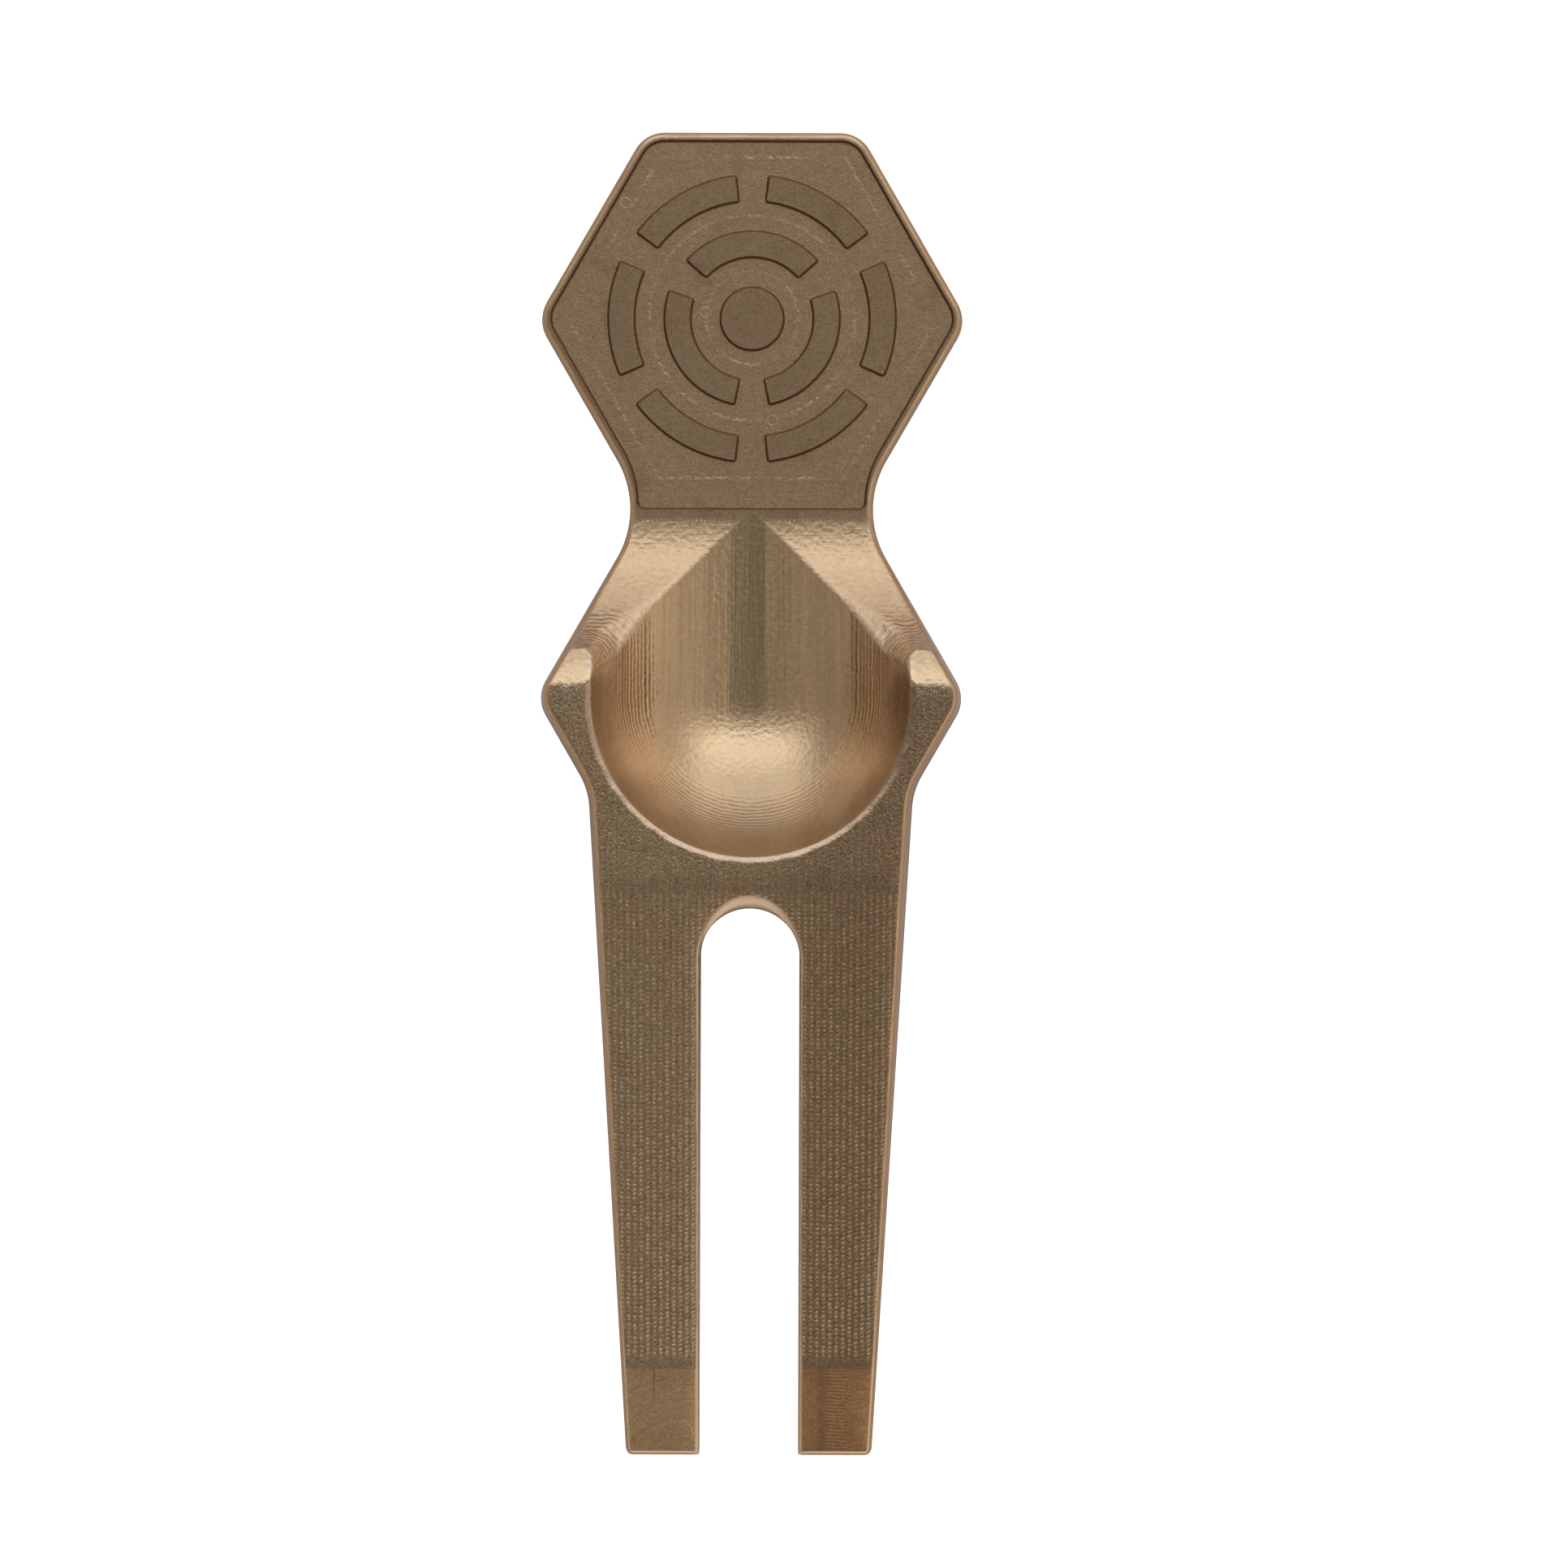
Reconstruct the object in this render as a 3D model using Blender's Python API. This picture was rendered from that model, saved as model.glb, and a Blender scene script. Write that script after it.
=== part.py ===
"""Golf pitch-mark repair tool: one bar of copper alloy, milled to shape.

Metres. The tool lies on its flat back: +Z is the milled front, +Y points to the head,
and the origin is the middle of the back.
"""
import math

import bmesh
import bpy
from mathutils import Vector

MM = 0.001

# Plan view
HEAD_TOP_Y = 44.9 * MM
TIP_Y = -44.9 * MM
HEX_ACROSS_FLATS = 25.4 * MM
HEX_CORNER_RADIUS = 2.4 * MM
HEAD_CENTRE_Y = HEAD_TOP_Y - HEX_ACROSS_FLATS / 2
BODY_CENTRE_Y = 6.5 * MM
NECK_RADIUS = 6.6 * MM
SHOULDER_RADIUS = 5.0 * MM
TINE_ROOT_HALF_WIDTH = 11.06 * MM
TINE_TIP_HALF_WIDTH = 8.34 * MM
TIP_OUTER_RADIUS = 0.5 * MM
TIP_INNER_RADIUS = 0.25 * MM
SLOT_HALF_WIDTH = 3.34 * MM
SLOT_END_Y = -7.66 * MM
SLOT_BEVEL_FOOT = 9.43 * MM
SLOT_BEVEL_ANGLE = math.radians(40)

# Side view
HEAD_THICKNESS = 3.0 * MM
BODY_THICKNESS = 10.33 * MM
RAMP_START_Y = 19.2 * MM
RAMP_RADIUS = 10.28 * MM
RAMP_ANGLE = math.radians(66)
BROW_RADIUS = 0.6 * MM
BROW_ANGLE = math.radians(32)
CREST_ANGLE = math.radians(14)
TINE_SLOPE_Y = -6.5 * MM
TIP_LAND_Y = -39.0 * MM
TIP_THICKNESS = 2.0 * MM
WALL_DRAFT = math.radians(2.5)
TOP_CHAMFER = 0.28 * MM
BACK_CHAMFER = 0.2 * MM

# Cradle: a round-bottomed channel with a ball end
CRADLE_RADIUS = 11.5 * MM
CRADLE_FLOOR = HEAD_THICKNESS + 0.02 * MM
LIP_BREAK = 0.25 * MM

# Pocket in the head, and the badge of broken rings round a disc left standing in it
POCKET_DEPTH = 0.3 * MM
POCKET_RIM = 0.65 * MM
POCKET_CORNER_RADIUS = 1.75 * MM
POCKET_FOOT_Y = 19.28 * MM
POCKET_FOOT_HALF_WIDTH = 7.75 * MM
BADGE_LINE = 1.7 * MM
BADGE_GAP = 2.1 * MM
OUTER_RING_RADIUS = 9.7 * MM
INNER_RING_RADIUS = OUTER_RING_RADIUS - BADGE_LINE - BADGE_GAP
DISC_RADIUS = INNER_RING_RADIUS - BADGE_LINE - BADGE_GAP

# Ramp: a hollow arc up from the head, a tight brow, then a shallow crest that meets the flat top
RAMP_END_Y = RAMP_START_Y - RAMP_RADIUS * math.sin(RAMP_ANGLE)
RAMP_RISE = RAMP_RADIUS * (1 - math.cos(RAMP_ANGLE))
BROW_END_Y = RAMP_END_Y - BROW_RADIUS * (math.sin(RAMP_ANGLE) - math.sin(BROW_ANGLE))
BROW_RISE = BROW_RADIUS * (math.cos(BROW_ANGLE) - math.cos(RAMP_ANGLE))
CREST_RISE = BODY_THICKNESS - HEAD_THICKNESS - RAMP_RISE - BROW_RISE
CREST_RADIUS = CREST_RISE / (math.cos(CREST_ANGLE) - math.cos(BROW_ANGLE))
CREST_Y = BROW_END_Y - CREST_RADIUS * (math.sin(BROW_ANGLE) - math.sin(CREST_ANGLE))


def clear_scene():
    for item in list(bpy.data.objects):
        bpy.data.objects.remove(item)


def arc(centre, radius, start, end, steps):
    points = []
    for i in range(steps + 1):
        angle = start + (end - start) * i / steps
        points.append(centre + Vector((math.cos(angle), math.sin(angle))) * radius)
    return points


def rounded_loop(corners):
    """Corners as (x, y, radius, steps), counter-clockwise. Returns points and outward normals."""
    points = []
    normals = []
    count = len(corners)
    for i in range(count):
        here = Vector(corners[i][:2])
        before = (Vector(corners[i - 1][:2]) - here).normalized()
        after = (Vector(corners[(i + 1) % count][:2]) - here).normalized()
        radius = corners[i][2]
        steps = corners[i][3]
        half = before.angle(after) / 2
        bisector = (before + after).normalized()
        centre = here + bisector * (radius / math.sin(half))
        first = here + before * (radius / math.tan(half)) - centre
        last = here + after * (radius / math.tan(half)) - centre
        start = math.atan2(first.y, first.x)
        turn = math.atan2(first.cross(last), first.dot(last))
        outward = 1 if turn > 0 else -1
        for point in arc(centre, radius, start, start + turn, steps):
            points.append(point)
            normals.append((point - centre).normalized() * outward)
    return points, normals


def tool_outline():
    """Outer edge of the tool at the back, with the slot between the tines as part of it."""
    radius = HEX_ACROSS_FLATS / math.sqrt(3)
    neck_y = (HEAD_CENTRE_Y + BODY_CENTRE_Y) / 2
    neck_x = radius - (HEAD_CENTRE_Y - neck_y) / math.sqrt(3)
    shoulder_y = BODY_CENTRE_Y - (radius - TINE_ROOT_HALF_WIDTH) * math.sqrt(3)
    right = [
        (SLOT_HALF_WIDTH, SLOT_END_Y, SLOT_HALF_WIDTH * 0.9999, 12),
        (SLOT_HALF_WIDTH, TIP_Y, TIP_INNER_RADIUS, 3),
        (TINE_TIP_HALF_WIDTH, TIP_Y, TIP_OUTER_RADIUS, 3),
        (TINE_ROOT_HALF_WIDTH, shoulder_y, SHOULDER_RADIUS, 6),
        (radius, BODY_CENTRE_Y, HEX_CORNER_RADIUS, 8),
        (neck_x, neck_y, NECK_RADIUS, 12),
        (radius, HEAD_CENTRE_Y, HEX_CORNER_RADIUS, 8),
        (radius / 2, HEAD_TOP_Y, HEX_CORNER_RADIUS, 8),
    ]
    left = [(-x, y, r, steps) for x, y, r, steps in reversed(right)]
    return rounded_loop(right + left)


def new_object(name, mesh_data):
    mesh = bpy.data.meshes.new(name)
    mesh_data.to_mesh(mesh)
    mesh_data.free()
    item = bpy.data.objects.new(name, mesh)
    bpy.context.scene.collection.objects.link(item)
    return item


def loft(name, layers):
    """Closed solid through layers of equal loops, each given as (loop of 2-D points, height)."""
    bm = bmesh.new()
    rings = []
    for loop, height in layers:
        rings.append([bm.verts.new((p[0], p[1], height)) for p in loop])
    for low, high in zip(rings, rings[1:]):
        for i in range(len(low)):
            j = (i + 1) % len(low)
            bm.faces.new((low[i], low[j], high[j], high[i]))
    bm.faces.new(list(reversed(rings[0])))
    bm.faces.new(rings[-1])
    bmesh.ops.recalc_face_normals(bm, faces=bm.faces)
    return new_object(name, bm)


def combine(target, cutter, operation):
    modifier = target.modifiers.new(operation.lower(), "BOOLEAN")
    modifier.operation = operation
    modifier.solver = "EXACT"
    modifier.object = cutter
    bpy.context.view_layer.update()
    with bpy.context.temp_override(object=target, active_object=target):
        bpy.ops.object.modifier_apply(modifier=modifier.name)
    bpy.data.objects.remove(cutter)


def in_slot(point):
    return abs(point.x) < SLOT_HALF_WIDTH + TIP_INNER_RADIUS * 1.01 and point.y < SLOT_END_Y + 1 * MM


def blank():
    """Bar with the outline of the tool, thicker than the finished part, drafted all round but in the slot."""
    points, normals = tool_outline()
    height = BODY_THICKNESS + 1 * MM
    draft = min((height - BACK_CHAMFER) * math.tan(WALL_DRAFT), TIP_OUTER_RADIUS * 0.9)
    foot = [p - n * BACK_CHAMFER for p, n in zip(points, normals)]
    top = [p if in_slot(p) else p - n * draft for p, n in zip(points, normals)]
    return loft("divot_tool_body", [(foot, 0), (points, BACK_CHAMFER), (top, height)])


def shoulder(y, z, radius, start, end, steps):
    """Points over a convex arc that falls as y rises, from one slope angle to another."""
    points = []
    for i in range(steps + 1):
        angle = start + (end - start) * i / steps
        points.append((
            y + radius * (math.sin(angle) - math.sin(start)),
            z - radius * (math.cos(start) - math.cos(angle)),
        ))
    return points


def side_profile():
    """Front surface in side view as (y, z), from the tips to the head."""
    profile = [(TIP_LAND_Y, TIP_THICKNESS), (TINE_SLOPE_Y, BODY_THICKNESS)]
    profile += shoulder(CREST_Y, BODY_THICKNESS, CREST_RADIUS, CREST_ANGLE, BROW_ANGLE, 4)
    profile += shoulder(BROW_END_Y, BODY_THICKNESS - CREST_RISE, BROW_RADIUS, BROW_ANGLE, RAMP_ANGLE, 3)[1:]
    for i in range(1, 13):
        angle = RAMP_ANGLE * (1 - i / 12)
        y = RAMP_START_Y - RAMP_RADIUS * math.sin(angle)
        z = HEAD_THICKNESS + RAMP_RADIUS * (1 - math.cos(angle))
        profile.append((y, z))
    return profile


def profile_solid():
    below = -1 * MM
    reach = HEAD_TOP_Y + 5 * MM
    section = [(-reach, below), (-reach, TIP_THICKNESS)] + side_profile()
    section += [(reach, HEAD_THICKNESS), (reach, below)]
    bm = bmesh.new()
    ends = []
    for x in (-20 * MM, 20 * MM):
        ends.append([bm.verts.new((x, y, z)) for y, z in section])
    for i in range(len(section)):
        j = (i + 1) % len(section)
        bm.faces.new((ends[0][i], ends[0][j], ends[1][j], ends[1][i]))
    bm.faces.new(ends[0])
    bm.faces.new(ends[1])
    bmesh.ops.recalc_face_normals(bm, faces=bm.faces)
    return new_object("profile_solid", bm)


def chamfer_front(body):
    bm = bmesh.new()
    bm.from_mesh(body.data)
    edges = []
    for edge in bm.edges:
        heights = sorted(face.normal.z for face in edge.link_faces)
        if heights[0] < 0.15 and heights[0] > -0.1 and heights[1] > 0.25:
            edges.append(edge)
    bmesh.ops.bevel(bm, geom=edges, offset=TOP_CHAMFER, segments=1, affect="EDGES", clamp_overlap=True)
    bm.to_mesh(body.data)
    bm.free()


def slot_bevel_cutter():
    """Half disc that slides towards the head as it rises, to bevel the closed end of the slot."""
    above = BODY_THICKNESS + 1 * MM
    slide = Vector((0, (above - SLOT_BEVEL_FOOT) * math.tan(SLOT_BEVEL_ANGLE)))
    loop = arc(Vector((0, SLOT_END_Y - SLOT_HALF_WIDTH)), SLOT_HALF_WIDTH * 0.999, 0, math.pi, 24)
    return loft("slot_bevel_cutter", [(loop, SLOT_BEVEL_FOOT), ([p + slide for p in loop], above)])


def cradle_cutter():
    """Cylinder along +Y with a ball end at the middle of the body."""
    centre_z = CRADLE_FLOOR + CRADLE_RADIUS
    around = 64
    rings = 12
    far_y = HEAD_TOP_Y + 10 * MM
    bm = bmesh.new()
    pole = bm.verts.new((0, BODY_CENTRE_Y - CRADLE_RADIUS, centre_z))
    loops = []
    for k in range(1, rings + 1):
        lift = math.pi / 2 * k / rings
        y = BODY_CENTRE_Y - CRADLE_RADIUS * math.cos(lift)
        loops.append((y, CRADLE_RADIUS * math.sin(lift)))
    loops.append((far_y, CRADLE_RADIUS))
    verts = []
    for y, radius in loops:
        ring = []
        for i in range(around):
            angle = 2 * math.pi * (i + 0.5) / around
            ring.append(bm.verts.new((radius * math.cos(angle), y, centre_z + radius * math.sin(angle))))
        verts.append(ring)
    for i in range(around):
        bm.faces.new((pole, verts[0][i], verts[0][(i + 1) % around]))
    for low, high in zip(verts, verts[1:]):
        for i in range(around):
            j = (i + 1) % around
            bm.faces.new((low[i], low[j], high[j], high[i]))
    bm.faces.new(verts[-1])
    bmesh.ops.recalc_face_normals(bm, faces=bm.faces)
    return new_object("cradle_cutter", bm)


def cradle_edge(widen):
    """Edge of the cradle in the flat top of the body, widened outward."""
    depth = BODY_THICKNESS - CRADLE_FLOOR
    half_width = math.sqrt(2 * CRADLE_RADIUS * depth - depth * depth) + widen
    loop = arc(Vector((0, BODY_CENTRE_Y)), half_width, math.pi, 2 * math.pi, 48)
    return loop + [Vector((half_width, RAMP_START_Y)), Vector((-half_width, RAMP_START_Y))]


def lip_cutter():
    layers = [
        (cradle_edge(-LIP_BREAK), BODY_THICKNESS - 2 * LIP_BREAK),
        (cradle_edge(2 * LIP_BREAK), BODY_THICKNESS + LIP_BREAK),
    ]
    return loft("lip_cutter", layers)


def pocket_outline():
    radius = (HEX_ACROSS_FLATS - 2 * POCKET_RIM) / math.sqrt(3)
    top_y = HEAD_TOP_Y - POCKET_RIM
    neck_y = HEAD_CENTRE_Y - (radius - POCKET_FOOT_HALF_WIDTH) * math.sqrt(3)
    right = [
        (POCKET_FOOT_HALF_WIDTH, POCKET_FOOT_Y, 0.5 * MM, 4),
        (POCKET_FOOT_HALF_WIDTH, neck_y, 7.0 * MM, 6),
        (radius, HEAD_CENTRE_Y, POCKET_CORNER_RADIUS, 6),
        (radius / 2, top_y, POCKET_CORNER_RADIUS, 6),
    ]
    left = [(-x, y, r, steps) for x, y, r, steps in reversed(right)]
    return rounded_loop(right + left)[0]


def ring_piece(outer_radius, middle, half_angle):
    """Band of one badge ring, either side of its middle angle."""
    centre = Vector((0, HEAD_CENTRE_Y))
    start = middle - half_angle
    end = middle + half_angle
    outer = arc(centre, outer_radius, start, end, 20)
    inner = arc(centre, outer_radius - BADGE_LINE, end, start, 20)
    return outer + inner


def badge_loops():
    """Outer ring in six pieces, inner ring in three, and the disc in the middle."""
    loops = []
    for radius, pieces, turn in ((OUTER_RING_RADIUS, 6, 0), (INNER_RING_RADIUS, 3, math.pi / 2)):
        half_angle = math.pi / pieces - BADGE_GAP / 2 / (radius - BADGE_LINE / 2)
        for i in range(pieces):
            loops.append(ring_piece(radius, turn + 2 * math.pi * i / pieces, half_angle))
    loops.append(arc(Vector((0, HEAD_CENTRE_Y)), DISC_RADIUS, 0, 2 * math.pi * 31 / 32, 31))
    return loops


def pocket_cutter():
    floor = HEAD_THICKNESS - POCKET_DEPTH
    above = HEAD_THICKNESS + 1 * MM
    cutter = loft("pocket_cutter", [(pocket_outline(), floor), (pocket_outline(), above)])
    for loop in badge_loops():
        island = loft("island", [(loop, floor - 1 * MM), (loop, above + 1 * MM)])
        combine(cutter, island, "DIFFERENCE")
    return cutter


def copper():
    material = bpy.data.materials.new("milled_copper")
    material.use_nodes = True
    shader = material.node_tree.nodes["Principled BSDF"]
    shader.inputs["Base Color"].default_value = (0.75, 0.50, 0.28, 1)
    shader.inputs["Metallic"].default_value = 1
    shader.inputs["Roughness"].default_value = 0.38
    return material


def main():
    clear_scene()
    body = blank()
    combine(body, profile_solid(), "INTERSECT")
    chamfer_front(body)
    combine(body, slot_bevel_cutter(), "DIFFERENCE")
    combine(body, cradle_cutter(), "DIFFERENCE")
    combine(body, lip_cutter(), "DIFFERENCE")
    combine(body, pocket_cutter(), "DIFFERENCE")
    body.data.materials.clear()
    body.data.materials.append(copper())


main()
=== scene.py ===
"""Looks of the golf pitch mark repair tool: one copper-alloy bar with its milled surfaces."""
import math

import bpy
import numpy as np
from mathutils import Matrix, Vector, kdtree
from mathutils.geometry import delaunay_2d_cdt


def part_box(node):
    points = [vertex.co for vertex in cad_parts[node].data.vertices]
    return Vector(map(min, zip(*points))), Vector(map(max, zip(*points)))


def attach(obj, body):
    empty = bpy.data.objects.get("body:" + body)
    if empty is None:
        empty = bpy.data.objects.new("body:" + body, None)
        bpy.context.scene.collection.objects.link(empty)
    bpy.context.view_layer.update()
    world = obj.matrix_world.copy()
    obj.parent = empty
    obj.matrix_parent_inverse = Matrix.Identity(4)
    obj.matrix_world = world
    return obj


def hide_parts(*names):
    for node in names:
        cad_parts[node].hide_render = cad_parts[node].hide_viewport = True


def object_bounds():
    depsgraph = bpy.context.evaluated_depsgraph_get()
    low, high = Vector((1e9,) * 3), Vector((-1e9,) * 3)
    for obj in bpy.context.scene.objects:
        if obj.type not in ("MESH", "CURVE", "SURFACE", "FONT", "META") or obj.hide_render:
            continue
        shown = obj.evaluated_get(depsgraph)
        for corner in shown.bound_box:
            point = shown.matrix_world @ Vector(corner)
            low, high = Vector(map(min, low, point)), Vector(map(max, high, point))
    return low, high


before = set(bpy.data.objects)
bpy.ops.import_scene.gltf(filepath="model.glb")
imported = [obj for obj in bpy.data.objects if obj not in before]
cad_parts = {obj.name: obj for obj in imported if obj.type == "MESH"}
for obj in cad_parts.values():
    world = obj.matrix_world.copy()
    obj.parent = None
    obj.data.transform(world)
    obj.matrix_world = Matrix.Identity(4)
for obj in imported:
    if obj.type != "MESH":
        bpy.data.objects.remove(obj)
cad_low, cad_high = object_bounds()

NODE = "divot_tool_body"
MM = 0.001
low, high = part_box(NODE)

# Sizes in millimetres. The frame gives the ends of the tool and its thickness.
HEAD_TOP_Y = high[1] / MM
TIP_Y = low[1] / MM
THICKNESS = (high[2] - low[2]) / MM

# Plan view
HEX_ACROSS_FLATS = 25.4
HEX_CORNER_RADIUS = 2.4
HEX_RADIUS = HEX_ACROSS_FLATS / math.sqrt(3)
HEAD_CENTRE_Y = HEAD_TOP_Y - HEX_ACROSS_FLATS / 2
BODY_CENTRE_Y = 6.5
NECK_RADIUS = 6.6
SHOULDER_RADIUS = 5.0
TINE_ROOT_HALF_WIDTH = 11.06
TINE_TIP_HALF_WIDTH = 8.34
TIP_OUTER_RADIUS = 0.5
TIP_INNER_RADIUS = 0.25
SLOT_HALF_WIDTH = 3.34
SLOT_END_Y = -7.66
SLOT_BEVEL_FOOT = 9.43
SLOT_BEVEL = math.tan(math.radians(40))

# Side view
HEAD_THICKNESS = 3.0
LAND_FOOT_Y = 18.5
RAMP_START_Y = 19.2
RAMP_RADIUS = 10.28
RAMP_ANGLE = math.radians(66)
BROW_RADIUS = 0.6
BROW_ANGLE = math.radians(32)
CREST_ANGLE = math.radians(14)
TINE_SLOPE_Y = -6.5
TIP_LAND_Y = -39.0
TIP_THICKNESS = 2.0
WALL_DRAFT = math.tan(math.radians(2.5))
BACK_CHAMFER = 0.2
FRONT_CHAMFER = 0.28
EDGE_RADIUS = 0.05

# Section over the worn front edge: (inset, drop below the front face)
WORN_EDGE = [(0.16, 0.09), (0.26, 0.02), (0.32, 0)]

# Cradle
CRADLE_RADIUS = 11.5
LIP_SLOPE = math.tan(math.radians(17))
LIP_WIDTH = 0.36
LIP_BLEND = 0.3
RIDGE_BLEND_LIMIT = 3.0
RIDGE_FINISH = 0.75

# Pocket
POCKET_DEPTH = 0.3
POCKET_RIM = 0.65
POCKET_CORNER_RADIUS = 1.75
POCKET_FOOT_Y = 19.28
POCKET_FOOT_HALF_WIDTH = 7.75

# Section down the pocket's wall: (inset, height against the land)
POCKET_WALL = [(-0.04, 0), (0, 0), (0.09, -POCKET_DEPTH), (0.17, -POCKET_DEPTH)]

# Badge
BADGE_LINE = 1.7
BADGE_GAP = 2.1
OUTER_RING_RADIUS = 9.7
INNER_RING_RADIUS = OUTER_RING_RADIUS - BADGE_LINE - BADGE_GAP
DISC_RADIUS = INNER_RING_RADIUS - BADGE_LINE - BADGE_GAP
BADGE_CORNER_RADIUS = 0.12

# Colours, linear RGB
COPPER = (0.775, 0.514, 0.285)
OLIVE_COPPER = (0.745, 0.505, 0.284)
RED_COPPER = (0.68, 0.405, 0.225)
WALL_COPPER = (0.80, 0.45, 0.22)
BROWN_COPPER = (0.42, 0.235, 0.115)
# Painted shade for the pocket's walls and feet
POCKET_SHADE_COPPER = (0.20, 0.108, 0.055)
PINK_COPPER = (1.0, 0.68, 0.47)
# Painted light on the cradle's deep walls
DEEP_WALL_LIGHT_COPPER = (0.77, 0.56, 0.36)
SHADED_COPPER = (0.37, 0.26, 0.16)
STRIPE_COPPER = (0.66, 0.48, 0.28)
# Painted light on the ramp by the horns and in their corners
HORN_LIGHT_COPPER = (0.88, 0.68, 0.47)
HORN_CORNER_LIGHT_COPPER = (0.92, 0.76, 0.58)
# Painted light on the cradle's wall by the horns
BOWL_EDGE_LIGHT_COPPER = (0.90, 0.66, 0.45)
LIP_COPPER = (0.76, 0.52, 0.33)
# Painted light on the chamfer at the slot's end
SLOT_CHAMFER_LIGHT_COPPER = (1.0, 0.72, 0.48)
# Painted light on the slot's walls
SLOT_WALL_LIGHT_COPPER = (1.0, 0.82, 0.62)
RUBBED_COPPER = (0.90, 0.60, 0.37)
TIP_EDGE_COPPER = (1.0, 0.78, 0.56)
# Painted glint beside each pit
PAINTED_GLINT_COPPER = (1.0, 0.80, 0.58)
SPOT_COPPER = (0.85, 0.36, 0.16)
LEFT_TIP_COPPER = (0.92, 0.56, 0.29)
# Painted shade on the right tip
RIGHT_TIP_SHADED_COPPER = (0.77, 0.40, 0.18)

# Tool marks, in millimetres. Plunge marks are placed from the head's centre.
DOT_COLUMN_PITCH = 0.44
DOT_ROW_PITCH = 0.3
DOT_RADIUS = 0.15
LADDER_PITCH = 0.23
CRADLE_STEP = 0.21
RAMP_STEP = 0.31
FACING_RADIUS = 16.0
FACING_PITCH = 0.32
STRIPE_X = -0.25
STRIPE_HALF_WIDTH = 1.2
TIP_SWEEP = (4.2, -47.0)
TIP_BAND_X = 4.95
TIP_SCRATCH_X = -6.43
TIP_RING = (-4.65, -43.4)
TIP_RING_RADIUS = 0.8
PLUNGE_MARKS = [(-8.6, 7.8), (6.6, 6.0), (-3.15, 0.4), (1.4, -6.9), (9.4, -1.6)]
PLUNGE_RADIUS = 0.34

# Light: radiance of each part of the studio, linear RGB
AMBIENT_LIGHT = (0.188, 0.188, 0.188)
HEAD_LIGHT = (0.97, 1.11, 1.33)
RIGHT_LIGHT = (0.24, 0.24, 0.24)
LEFT_LIGHT = (0.08, 0.08, 0.08)
HORIZON_LIGHT = (0.13, 0.13, 0.13)
TIP_LIGHT = (0.35, 0.35, 0.35)

# Camera, with lengths in millimetres
FRAME_WIDTH = 106.7
CAMERA_X = 2.26
CAMERA_Y = 0.69
CAMERA_ROLL = math.radians(0.18)

# Mesh
SHARPEST_RADIUS = 0.02
LINE_STEP = 0.5
ARC_STEP = 0.15
FINE_STEP = 0.3
COARSE_STEP = 1.2
HORN_STEP = 0.09
HORN_INNER_X = 10.2
HORN_OUTER_X = 12.2
HORN_FOOT_Y = 8.2
BROW_ROW_STEP = 0.06
BROW_STEP = 0.2
EDGE_BANDS = (0.05, 0.1, 0.18, 0.27, 0.36, 0.45, 0.54)
CORNER_STEPS = 3
DISC_STEPS = 64
BEVEL_ROUNDS = 5

# Ramp: a hollow arc up from the head, a tight brow, then a shallow crest that meets the flat top
RAMP_END_Y = RAMP_START_Y - RAMP_RADIUS * math.sin(RAMP_ANGLE)
RAMP_RISE = RAMP_RADIUS * (1 - math.cos(RAMP_ANGLE))
BROW_END_Y = RAMP_END_Y - BROW_RADIUS * (math.sin(RAMP_ANGLE) - math.sin(BROW_ANGLE))
BROW_RISE = BROW_RADIUS * (math.cos(BROW_ANGLE) - math.cos(RAMP_ANGLE))
CREST_RISE = THICKNESS - HEAD_THICKNESS - RAMP_RISE - BROW_RISE
CREST_RADIUS = CREST_RISE / (math.cos(CREST_ANGLE) - math.cos(BROW_ANGLE))
CREST_Y = BROW_END_Y - CREST_RADIUS * (math.sin(BROW_ANGLE) - math.sin(CREST_ANGLE))

# Half width of the cradle where it meets the flat top
CRADLE_DEPTH = THICKNESS - HEAD_THICKNESS
LIP_RADIUS = math.sqrt(2 * CRADLE_RADIUS * CRADLE_DEPTH - CRADLE_DEPTH**2)


class Loop:
    """Closed plan outline that can be set in by a distance of its own at each point."""

    def __init__(self):
        self.points = []
        self.normals = []
        self.limits = []
        self.slides = []
        self.bend = None

    def add(self, point, normal, limit=math.inf, slide=(0.0, 0.0)):
        self.points.append(tuple(point))
        self.normals.append(tuple(normal))
        self.limits.append(limit)
        self.slides.append(tuple(slide))

    def inset(self, distance):
        """Points moved inward by the distance. A corner with too small a radius turns sharp."""
        points = np.array(self.points)
        limits = np.array(self.limits)
        distance = np.broadcast_to(np.asarray(distance, dtype=float), limits.shape)
        within = np.minimum(distance, limits)
        beyond = np.maximum(distance - limits, 0)
        moved = points - np.array(self.normals) * within[:, None] + np.array(self.slides) * beyond[:, None]
        return self.bend(moved) if self.bend else moved


def add_arc(loop, corner, before, after, radius):
    """Rounds one corner of a loop. Returns where the arc begins and ends."""
    half = before.angle(after) / 2
    inward = (before + after).normalized()
    centre = corner + inward * (radius / math.sin(half))
    first = corner + before * (radius / math.tan(half))
    last = corner + after * (radius / math.tan(half))
    start = first - centre
    turn = math.atan2(start.cross(last - centre), start.dot(last - centre))
    convex = turn > 0
    steps = max(4, math.ceil(abs(turn) * radius / ARC_STEP))
    for i in range(steps + 1):
        angle = math.atan2(start.y, start.x) + turn * i / steps
        spoke = Vector((math.cos(angle), math.sin(angle)))
        point = centre + spoke * radius
        if convex:
            loop.add(point, spoke, radius - SHARPEST_RADIUS, inward / math.sin(half))
        else:
            loop.add(point, -spoke)
    return first, last


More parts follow.
